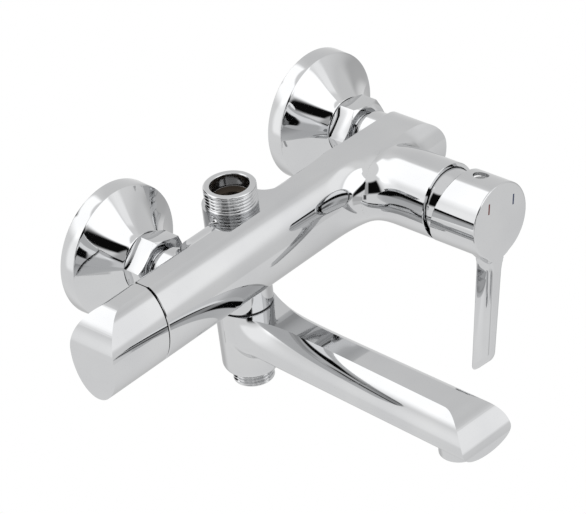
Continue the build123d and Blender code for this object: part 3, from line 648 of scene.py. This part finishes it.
# %% [markdown]
# ## The diverter knob
# The knob carries on the tube's oval to the left, parted from it by a fine seam. Its flat top
# bends down into the end face as a long round. The same distances give it, and the side at
# the seam is sawn and hollowed.


# %% The knob
SEAM = (-113.6, TUBE_Y, AXIS)


def knob_surface(x, y, z):
    tube = oval(y - TUBE_Y, z - AXIS, *TUBE_HALF)
    return np.maximum(tube, np.maximum(-153.0 - x, x + 112.0))


blocks = bmesh.new()
rod(blocks, 1.0, (-153, TUBE_Y, AXIS), (-112, TUBE_Y, AXIS), 96, squeeze=TUBE_BLOCK)
knob = cast(blocks, knob_surface, 0.5)
saw(knob, SEAM, (1, 0, 0), 0.4)
bend = arc((-131.2, AXIS + 1.7), 19.5, 90, 180, 32)
line = [(-100.0, AXIS + FLAT), *bend, (-150.7, -60.0)]
line += [(-190.0, -60.0), (-190.0, 60.0), (-100.0, 60.0)]
knob = less(knob, cutter(line, lambda u, v, y: (u, y, v), -90.0, -30.0))
bore(knob, cap_at(knob, SEAM, (1, 0, 0)), SEAM, (-1, 0, 0), [(11.6, 17.0)])
settle("knob_casting", knob, "diverter", "chrome", ["diverter_knob"], surface=knob_surface)

# %% [markdown]
# ## The spout
# The spout hangs under the neck and can swing. Its arm has an egg-shaped section, cut flat on
# top, that widens towards the tip, where the flat bends down in a round nose. The arm grows
# out of a hub with a well-rounded lower edge. There its section is taller, so that the flat
# starts as wide as the hub. The spout is modelled pointing straight at the reader and then
# turned the few degrees that the photograph shows.

# %% The spout's surface
SPOUT_PLACE = Matrix.Translation((*RISER, AXIS)) @ Matrix.Rotation(math.radians(-2.7), 4, "Z")
ARM_MIDDLE = -53.0  # heights are counted from the faucet's axis
ARM_LENGTH = 160.0
HUB_TOP = -36.8
HUB_FOOT = -75.0
HUB_R = 15.2


def spout_surface(x, y, height):
    along = -y
    part = np.clip(along, 0, ARM_LENGTH) / ARM_LENGTH
    half = 14.7 + 2.0 * part
    tall = 16.3 + 37.0 * np.exp(-np.clip(along, 0, None) / 9.0) + 0.7 * part
    arm = oval(x, height - ARM_MIDDLE, half, np.where(height > ARM_MIDDLE, tall, 7.0))
    arm = np.maximum(arm, np.maximum(-along, along - 163.0))
    hub = np.hypot(x, y) - HUB_R + 0.3 * np.clip((HUB_TOP - height) / 38.2, 0, 1)
    hub = np.maximum(cut(hub, -75.6 - height, 5.0), height + 34.5)
    soft = 1.0 + eased(along, 2.0, 14.0) * (1.0 + 5.0 * eased(-height, 44.0, 54.0))
    return melt(arm, hub, soft)


blocks = bmesh.new()
rod(blocks, 1.0, (0, -0.5, -48), (0, -163, -48), 96, squeeze=(15.6, 1, 11.6))
rod(blocks, 15.1, (0, 0, -75.6), (0, 0, -34.5), 96)
spout = cast(blocks, spout_surface, 0.58)
saw(spout, (0, 0, HUB_FOOT), (0, 0, -1))

# %% [markdown]
# ## The spout's top and bore
# One line cuts hub, arm and nose, so the flat runs from the hub's rim to the tip without a step.
# The bore goes right through the hub, and its last ring is bridged to the rim of the foot.

# %% The spout cut flat on top and bored
nose = arc((-140.0, -57.6), 20.0, 90, 180, 32)
line = [(30.0, HUB_TOP), (-16.0, HUB_TOP), (-45.0, -37.6), *nose]
line += [(-ARM_LENGTH, -90.0), (-190.0, -90.0), (-190.0, -20.0), (30.0, -20.0)]
spout = less(spout, cutter(line, lambda u, v, x: (x, u, v), -30.0, 30.0))
crown = cap_at(spout, (0, 0, HUB_TOP), (0, 0, 1))
inner = bore(spout, crown, (0, 0, HUB_TOP), (0, 0, -1), [(9.3, 38.2)], closed=False)
base = cap_at(spout, (0, 0, HUB_FOOT), (0, 0, -1))
rim = list(base.edges)
bmesh.ops.delete(spout, geom=[base], context="FACES_ONLY")
bmesh.ops.bridge_loops(spout, edges=inner + rim)
bmesh.ops.recalc_face_normals(spout, faces=spout.faces)
settle(
    "spout_casting", spout, "spout", "chrome", ["spout"],
    place=SPOUT_PLACE, surface=spout_surface,
)

# %% [markdown]
# ## The lever handle
# Hood and lever are one casting. Seen from the front the outline is a keyhole: a disc with a
# slim lever below, joined by two small fillets. The hood is cut off at a slant behind, so that
# the lever can be lifted, and the lever's sides are a little hollow for the fingers.

# %% The handle's surface
HOOD_R = 20.0
FACE = 146.6  # depth of the handle's front face
LEVER_MIDDLE = 141.35  # depth of the lever's middle
HANDLE_PLACE = Matrix.Translation((HORN_X, 0, AXIS)) @ Matrix.Rotation(math.radians(11.3), 4, "Y")


def handle_surface(x, y, z):
    depth = -y
    disc = np.hypot(x, z) - HOOD_R
    started = eased(-z, 19.0, 28.0)  # 0 on the hood, 1 on the lever
    waist = 1 - np.clip((depth - LEVER_MIDDLE) / 5.25, -1, 1) ** 2
    half = 4.8 + 1.75 * z / 85.0 - 1.3 * waist * started * np.clip((z + 82.0) / 50.0, 0, 1)
    lever = np.maximum(np.abs(x) - half, z)
    plate = cut(join(disc, lever, 5.0), 136.1 - depth, 0.9 + 0.6 * started)
    tip = 0.69 * (depth - FACE) - 0.724 * (z + 75.0)
    plate = cut(plate, tip, 2.6)
    handle = np.minimum(plate, np.maximum(disc, 112.0 - depth))
    return cut(handle, depth - FACE, 0.6 + 1.0 * started)


blocks = bmesh.new()
rod(blocks, 19.9, (0, -112, 0), (0, -146.5, 0), 96)
lever = bmesh.ops.create_cube(blocks, size=1.0)["verts"]
size = Matrix.Diagonal((7.4, 10.4, 78, 1))
bmesh.ops.transform(
    blocks, matrix=Matrix.Translation((0, -LEVER_MIDDLE, -40)) @ size, verts=lever
)
for v in lever:
    if v.co.z < -60:  # the tip's slant
        v.co.z = -75.2 + 0.953 * (-FACE - v.co.y)
handle = cast(blocks, handle_surface, 0.38)

# %% [markdown]
# ## The handle's hollow
# The hood is a cup. Its slanted back is sawn, inset by the thickness of the wall and pushed in,
# which leaves the wall standing. A drilled seat on top takes the plug, and a post inside takes
# the cartridge's spindle.

# %% The handle sawn and hollowed
WALL = 1.6  # thickness of the hood
CUP_Y = -142.0  # where the hollow ends
PLUG_Y = -133.2
back = saw(handle, (0, -114.6, -20), (0, 0.9695, 0.245), 0.3, near=lambda p: p.y > -135.5)
bmesh.ops.inset_region(handle, faces=back, thickness=WALL, use_boundary=True, use_even_offset=True)
cup = bmesh.ops.extrude_face_region(handle, geom=back)["geom"]
bmesh.ops.delete(handle, geom=back, context="FACES")
for v in (g for g in cup if isinstance(g, bmesh.types.BMVert)):
    v.co.y = CUP_Y
bmesh.ops.recalc_face_normals(handle, faces=handle.faces)
drill = bmesh.new()
rod(drill, 4.05, (0, PLUG_Y, 16.2), (0, PLUG_Y, 24), 72)
handle = less(handle, drill)
rod(handle, 8.0, (0, -129.6, 0), (0, -142.1, 0), 48)
settle(
    "handle_casting", handle, "lever", "chrome", ["lever_handle"],
    place=HANDLE_PLACE, surface=handle_surface,
)

# %% [markdown]
# ## Turned pieces
# The covers on the wall, the collars and the nipples come from a lathe. A lathe is `spin`: a
# profile of a few points is turned once round its axis, and the rims are rounded with a small
# bevel, because no turned rim is perfectly sharp.


# %% The lathe
def turned(profile, centre, axis, steps=128, closed=True):
    """profile lists radius and distance along the axis."""
    bm = bmesh.new()
    along = Vector(axis)
    side = Vector((1, 0, 0)) if abs(along.x) < 0.5 else Vector((0, 1, 0))
    verts = [bm.verts.new(Vector(centre) + side * r + along * d) for r, d in profile]
    pairs = list(zip(verts, verts[1:])) + ([(verts[-1], verts[0])] if closed else [])
    edges = [bm.edges.new(pair) for pair in pairs]
    bmesh.ops.spin(
        bm, geom=verts + edges, cent=centre, axis=axis, angle=2 * math.pi, steps=steps,
        use_merge=True,
    )
    bmesh.ops.remove_doubles(bm, verts=bm.verts, dist=1e-4)
    bmesh.ops.recalc_face_normals(bm, faces=bm.faces)
    return bm


def soften(bm, width, segments=3, angle=25):
    """Rounds every edge that is sharper than an angle."""
    edges = [e for e in bm.edges if e.is_manifold and e.calc_face_angle() > math.radians(angle)]
    bmesh.ops.bevel(
        bm, geom=edges, offset=width, segments=segments, profile=0.5, affect="EDGES",
        material=-1, clamp_overlap=True,
    )


SIDES = (("left", -INLET_X), ("right", INLET_X))
print("lathe ready")

# %% [markdown]
# ## The covers on the wall
# Each cover is a pressed trumpet: a low upright band at the wall, then a hollow curve up to a
# narrow throat round the union. It is thin sheet, so the profile runs up outside and comes
# back inside, and it is open towards the wall.


# %% Escutcheons
def circle_through(a, b, c):
    """Centre and radius of the circle through three points of a profile."""
    ax, ay = a[0] - c[0], a[1] - c[1]
    bx, by = b[0] - c[0], b[1] - c[1]
    twice = 2 * (ax * by - ay * bx)
    a2, b2 = ax * ax + ay * ay, bx * bx + by * by
    ux, uy = (by * a2 - ay * b2) / twice, (ax * b2 - bx * a2) / twice
    return (c[0] + ux, c[1] + uy), math.hypot(ux, uy)


BAND = (34.6, 8.7)  # radius and distance from the wall where the hollow curve starts
MIDDLE = (23.6, 15.0)
THROAT = (15.3, 23.8)
THROAT_R = 13.15
hollow, hollow_r = circle_through(BAND, MIDDLE, THROAT)


def angle_at(r, d):
    return math.degrees(math.atan2(d - hollow[1], r - hollow[0]))


outside = arc(hollow, hollow_r, angle_at(*BAND), angle_at(*THROAT), 28)
inside = arc(hollow, hollow_r + 1.3, angle_at(33.0, 8.2), angle_at(13.6, 23.4), 28)
inside = [(max(r, THROAT_R), min(d, 22.6)) for r, d in inside]
for side, x in SIDES:
    cover = turned(
        [(34.9, 0), *outside, (THROAT_R, THROAT[1]), *reversed(inside), (33.5, 7.0), (33.6, 0)],
        (x, 0, AXIS), (0, -1, 0), 160,
    )
    soften(cover, 0.4, 3, 30)
    settle(side + "_wall_cover", cover, "faucet", "chrome", [side + "_escutcheon"])

# %% [markdown]
# ## Nuts and sleeves
# A hexagon nut is a six-sided bar with both ends turned to a cone, which leaves the curved
# edges on its flats. That is what the two solids have in common, so a Boolean makes it. A Weld
# modifier clears slivers away, and a Bevel modifier rounds all edges at once. The sleeve comes
# out of the nut's front.

# %% Union nuts and inlet sleeves
CORNER_R = 15 / math.cos(math.pi / 6)  # 30 mm across the flats
for (side, x), turn in zip(SIDES, (-17.2, -7.2)):
    bar = bmesh.new()
    made = bmesh.ops.create_cone(
        bar, cap_ends=True, segments=6, radius1=CORNER_R, radius2=CORNER_R, depth=12.1
    )["verts"]
    corner = math.atan2(made[0].co.y, made[0].co.x)
    spun = Matrix.Rotation(math.radians(turn) - corner, 4, "Z")
    lying = Matrix.Rotation(math.pi / 2, 4, "X") @ spun
    bmesh.ops.transform(bar, matrix=Matrix.Translation((x, -30.45, AXIS)) @ lying, verts=made)
    cones = turned(
        [(10.4, 24.3), (14.9, 24.3), (17.9, 26.0), (17.9, 34.9), (14.9, 36.6), (10.4, 36.6)],
        (x, 0, AXIS), (0, -1, 0), 96,
    )
    cones = other(cones)
    nut = modified(
        bar,
        ("BOOLEAN", {"operation": "INTERSECT", "object": cones, "solver": "EXACT"}),
        ("WELD", {"merge_threshold": 0.12}),
        ("BEVEL", {"width": 0.3, "segments": 3, "limit_method": "ANGLE", "angle_limit": 0.5}),
    )
    bpy.data.objects.remove(cones)
    settle(side + "_hexagon_nut", nut, "faucet", "chrome", [side + "_union_nut"])
    sleeve = turned(
        [(6.5, 31.5), (12.8, 31.5), (12.8, 34.0), (10.0, 34.0), (10.0, 40.0), (6.5, 40.0)],
        (x, 0, AXIS), (0, -1, 0),
    )
    soften(sleeve, 0.25, 2)
    settle(side + "_sleeve", sleeve, "faucet", "chrome", [side + "_inlet_sleeve"])

# %% [markdown]
# ## Threads
# A pipe thread is a groove that climbs one pitch with each turn, with round crests and roots.
# The plain wall is divided into fine rows, and every vertex moves in by the depth of the groove
# at its own height and angle. At both ends the groove runs out into a plain rim.


# %% A thread cut into a turned wall
PITCH = 1.814  # 14 turns per inch
GROOVE = 1.0  # depth in mm
ROW = 0.09  # mm from one row of vertices to the next
SMALL_R = 10.48  # crest of a G 1/2 thread
LARGE_R = 13.2  # crest of a G 3/4 thread


def threaded(bm, centre, axis, crest, start, end):
    """Cuts a groove between two places along the axis into the wall of radius crest."""
    along = Vector(axis)
    middle = Vector(centre)

    def place(v):
        reach = (v.co - middle).dot(along)
        return reach, v.co - middle - reach * along

    walls = [
        e for e in bm.edges
        if all(abs(place(v)[1].length - crest) < 0.01 for v in e.verts)
        and abs(place(e.verts[0])[0] - place(e.verts[1])[0]) > 1
    ]
    bmesh.ops.subdivide_edges(bm, edges=walls, cuts=int((end - start) / ROW), use_grid_fill=True)
    side = Vector((1, 0, 0)) if abs(along.x) < 0.5 else Vector((0, 1, 0))
    across = along.cross(side)
    for v in bm.verts:
        reach, out = place(v)
        if abs(out.length - crest) > 0.01 or not start - 0.01 < reach < end + 0.01:
            continue
        angle = math.atan2(out.dot(across), out.dot(side))
        drop = GROOVE / 2 * (1 - math.cos(2 * math.pi * reach / PITCH - angle))
        border = min(reach - start, end - reach)
        v.co -= out.normalized() * drop * min(max((border - 0.1) / 0.9, 0), 1)


nipple = turned(
    [
        (LARGE_R, FLAT), (LARGE_R, 30.0), *arc((12.2, 30.0), 1.0, 10, 90, 6),
        *arc((10.5, 30.3), 0.7, 90, 170, 5), (9.8, 30.2), (9.8, 24.0), (6.5, 22.5), (6.5, 12.4),
        (10.4, 12.4), (10.4, FLAT),
    ],
    (*RISER, AXIS), (0, 0, 1),
)
threaded(nipple, (*RISER, AXIS), (0, 0, 1), LARGE_R, FLAT, 30.0)
settle("riser_thread", nipple, "faucet", "chrome", ["riser_nipple"], 60, coat="bored_chrome")

outlet = turned(
    [
        (SMALL_R, -75.2), (SMALL_R, -81.4), *arc((9.68, -81.4), 0.8, -10, -90, 5),
        (8.2, -82.2), (8.2, -79.5), (4.0, -78.5), (4.0, -75.2),
    ],
    (*RISER, AXIS), (0, 0, 1),
)
threaded(outlet, (*RISER, AXIS), (0, 0, 1), SMALL_R, -81.4, -75.2)
settle("hose_thread", outlet, "faucet", "chrome", ["hose_nipple"], 60)

# %% [markdown]
# ## The eccentric unions
# A union screws into the wall and meets the faucet 6 mm lower, so that turning it sets the
# spacing. It is one turned tube whose front part is pushed down, with the pipe thread on the
# wall's side. Most of it is hidden by the cover.

# %% Eccentric unions
for side, x in SIDES:
    union = turned(
        [
            (9.4, -16), (SMALL_R, -15), (SMALL_R, 0), (10.2, 4), (13.1, 14), (13.1, 29.4),
            (6.5, 29.4), (6.5, 14), (6.5, 4), (6.5, -16),
        ],
        (x, 0, 0), (0, -1, 0), 96,
    )
    front = [v for v in union.verts if v.co.y < -13.9]
    bmesh.ops.translate(union, vec=(0, 0, AXIS), verts=front)
    threaded(union, (x, 0, 0), (0, -1, 0), SMALL_R, -15, 0)
    settle(side + "_wall_union", union, "faucet", "chrome", [side + "_eccentric_union"], 60)

# %% [markdown]
# ## The dome behind the handle
# A domed ring closes the horn and lets the lever tilt over it, so it is part of a ball about
# the point where the lever pivots, with a short straight skirt behind.

# %% The cartridge cover
PIVOT = (0, 112)  # the middle of the ball
dome = turned(
    [(16.4, 108.2), (17.6, 108.2), *arc(PIVOT, 17.6, 0, 43, 24), *arc(PIVOT, 16.4, 46, 0, 24)],
    (HORN_X, 0, AXIS), (0, -1, 0), 160,
)
soften(dome, 0.3, 3, 30)
settle("cartridge_dome", dome, "faucet", "chrome", ["cartridge_cover"])

# %% [markdown]
# ## Small pieces on the handle
# A round plug sits in the hood's top over the set screw. It is a shallow dish with a rounded
# rim. The two colour marks are thin enamel bars let into the face, which stand just proud of
# it, so that light catches their edge.

# %% Plug and colour marks
plug = turned(
    [
        (0, 17.1), (1.2, 17.15), (2.4, 17.45), (3.1, 17.8), (3.6, 17.8), (3.95, 17.5),
        (3.95, 16.3), (0, 16.3),
    ],
    (0, PLUG_Y, 0), (0, 0, 1), 72, closed=False,
)
soften(plug, 0.2, 3, 30)
settle("set_screw_plug", plug, "lever", "plug_plastic", ["handle_plug"], place=HANDLE_PLACE)
for name, x, slot in (("hot_mark", -9.3, "red_enamel"), ("cold_mark", 9.3, "blue_enamel")):
    bar = bmesh.new()
    made = bmesh.ops.create_cube(bar, size=1.0)["verts"]
    size = Matrix.Diagonal((1.1, 0.3, 5.6, 1))
    bmesh.ops.transform(bar, matrix=Matrix.Translation((x, -146.5, 8.7)) @ size, verts=made)
    soften(bar, 0.08, 2)
    settle(name + "_enamel", bar, "lever", slot, [name], place=HANDLE_PLACE)

# %% [markdown]
# ## The aerator
# The water leaves through a collar under the spout's tip. The collar is turned, with a rounded
# lip, and the plastic insert inside it keeps its CAD shape.

# %% Aerator collar
collar = turned(
    [(10.6, -50), (10.6, -66), (9.0, -66), (9.0, -64), (9.1, -63.9), (9.1, -50)],
    (0, -141.5, 0), (0, 0, 1), 96,
)
soften(collar, 0.5, 4, 60)
settle("aerator_collar", collar, "spout", "chrome", ["aerator_housing"], place=SPOUT_PLACE)

# %% [markdown]
# ## Studio
# Chrome shows the room more than itself, so the light is a room, painted on the world by
# direction. The bearing counts from the front towards the right and the level from the horizon
# up, both in degrees. A card is a patch between two bearings and two levels.


# %% The room as a world
scene = bpy.context.scene
scene.view_settings.view_transform = "Standard"
world = bpy.data.worlds.new("studio")
scene.world = world
world.use_nodes = True
tree = world.node_tree
tree.nodes.clear()
start = Tone(tree, None)
direction = start.node("ShaderNodeTexCoord", out=0)
east = start.node("ShaderNodeSeparateXYZ", {}, {0: direction}, 0)
north = start.node("ShaderNodeSeparateXYZ", {}, {0: direction}, 1)
rise = start.node("ShaderNodeSeparateXYZ", {}, {0: direction}, 2)
bearing = start.math("ARCTAN2", east, 0 - north) * (180 / math.pi)
level = start.math("ARCSINE", rise) * (180 / math.pi)


def slope(value, low, high):
    """0 below low, 1 above high, and even in between."""
    return start.node(
        "ShaderNodeMapRange", {"interpolation_type": "SMOOTHSTEP"},
        {"Value": value, "From Min": low, "From Max": high},
    )


def card(left, right, low, high, soft):
    """1 where a card hangs in the room, 0 elsewhere, with a soft edge."""
    starts = slope(bearing, left - soft, left + soft)
    wide = starts * (1 - slope(bearing, right - soft, right + soft))
    tall = slope(level, low - soft, low + soft) * (1 - slope(level, high - soft, high + soft))
    return wide * tall


print("bearing and level ready")

# %% [markdown]
# ## What is in the room
# A large soft window stands in front. Its lower left side runs aslant, and a dark edge widens
# along it. Black cards on the left and behind give the dark bands. The ceiling is bright, and
# greys stand for what else is in a room. To the camera the bare room is white.

# %% Window, cards and ceiling
upper = level + 1.2 * bearing
lower = level + 0.62 * bearing
window = card(-38, 29, -1, 58, 3) * slope(upper, 5, 12)
edge = card(-44, 6, -9, 48, 3) * slope(lower, -6, -1) * (1 - slope(upper, 4, 11))
black = card(-107, -60, 8, 48, 4) + 0.9 * card(-52, -37, -13, 4, 2)
black = black + card(-200, -163, 4, 39, 3) + card(174, 200, 4, 39, 3)
dark = 0.995 * start.math("MAXIMUM", black, edge)

# A bright ceiling, a bright strip on the left and a glow to the right of the window.
high = slope(level, 21, 39) * (1 - slope(level, 58, 62))
ceiling = high * (1 - slope(bearing, -126, -116))
ceiling = ceiling + high * slope(level, 34, 42) * slope(bearing, 152, 161)
glow = card(29, 60, -8, 44, 4) * (1 - slope(bearing - 0.25 * level, 33.5, 38))
bright = 0.66 * ceiling + 0.32 * card(-130, -114, -14, 44, 4) + 0.28 * glow

# Greys beside and below the window, and all over the room on the right.
grey = 0.42 * card(-60, -43, 4, 46, 5) + 0.25 * card(-50, 8, -30, -19, 3)
grey = grey + 0.35 * card(-32, 8, -18, -3, 3) + 0.12 * card(34, 60, -30, -8, 6)
grey = grey + 0.14 * card(50, 150, -34, 60, 10) + 0.24 * card(64, 98, -30, 2, 8)
room = (0.94 + bright - grey) * (1 - dark)
room = start.math("MAXIMUM", room, 1.62 * window)

# Camera rays see plain white, and rays that light matt pieces get less than mirrors do.
sight = start.node("ShaderNodeLightPath", out=0)
mirror = start.node("ShaderNodeLightPath", out=3)
lit = start.math("MINIMUM", sight + mirror, 1.0)
shade = start.math("MAXIMUM", room, sight) * (0.6 + 0.4 * lit)
shade = start.math("MINIMUM", shade, 2.1 - 1.1 * sight)
sky = start.node("ShaderNodeBackground", {}, {"Color": shade, "Strength": 1.0})
start.node("ShaderNodeOutputWorld", {}, {"Surface": sky})
print("world nodes", len(tree.nodes))

# %% [markdown]
# ## Floor
# The floor lies well below the faucet, which hangs on a wall, so no shadow reaches it. The camera
# sees it white. Mirrors see it pale, and darker towards the far right. To all other light it is a
# plain pale matt floor.

# %% Floor
FLOOR_Z = -1.5
ground = bmesh.new()
bmesh.ops.create_circle(ground, cap_ends=True, segments=64, radius=3.0)
bmesh.ops.translate(ground, vec=(0, 0, FLOOR_Z), verts=ground.verts)
mesh = bpy.data.meshes.new("floor")
ground.to_mesh(mesh)
ground.free()
floor = bpy.data.objects.new("floor", mesh)
bpy.context.collection.objects.link(floor)
paper = bpy.data.materials.new("paper")
paper.use_nodes = True
tree = paper.node_tree
tree.nodes.clear()
start = Tone(tree, None)
seen = start.node("ShaderNodeLightPath", out=0)
mirrored = start.node("ShaderNodeLightPath", out=3)
bare = start.math("MINIMUM", seen + mirrored, 1.0)
matt = start.node("ShaderNodeBsdfDiffuse", {}, {"Color": (0.8, 0.8, 0.8, 1)})
spot = start.node("ShaderNodeTexCoord", out=3)
far_right = 0.8 * start.node("ShaderNodeSeparateXYZ", {}, {0: spot}, 0)
far_right = far_right + 0.6 * start.node("ShaderNodeSeparateXYZ", {}, {0: spot}, 1)
fading = start.node("ShaderNodeMapRange", {"interpolation_type": "SMOOTHSTEP"}, {
    "Value": far_right, "From Min": 0.12, "From Max": 1.25})
level_of_white = start.math("MAXIMUM", seen, 0.93 - 0.32 * fading)
white = start.node("ShaderNodeEmission", {}, {"Color": level_of_white, "Strength": 1.0})
mixed = start.node("ShaderNodeMixShader", {}, {0: bare, 1: matt, 2: white})
start.node("ShaderNodeOutputMaterial", {}, {"Surface": mixed})
mesh.materials.append(paper)
print("floor at", FLOOR_Z)

# %% [markdown]
# ## Camera
# The camera looks down from the front left through a long lens and is rolled a little, as in the
# photograph. Its numbers were fitted so that the inlets, which stand 150 mm apart, lie where the
# photograph has them.

# %% Camera
CAMERA_PLACE = (-1.0031, -1.0734, 0.8861)
azimuth, elevation, roll = (math.radians(a) for a in (-44.39, 32.75, 6.93))
level_part = math.cos(elevation)
back = Vector(
    (math.sin(azimuth) * level_part, -math.cos(azimuth) * level_part, math.sin(elevation))
)
level_right = Vector((math.cos(azimuth), math.sin(azimuth), 0))
level_up = back.cross(level_right)
right = math.cos(roll) * level_right - math.sin(roll) * level_up
up = math.sin(roll) * level_right + math.cos(roll) * level_up
lens = bpy.data.cameras.new("camera")
lens.sensor_fit = "HORIZONTAL"
lens.sensor_width = 36.0
lens.lens = 209.95
camera = bpy.data.objects.new("camera", lens)
bpy.context.collection.objects.link(camera)
turn = Matrix((right, up, back)).transposed().to_4x4()
camera.matrix_world = Matrix.Translation(CAMERA_PLACE) @ turn
scene.camera = camera
print("camera lens", lens.lens)
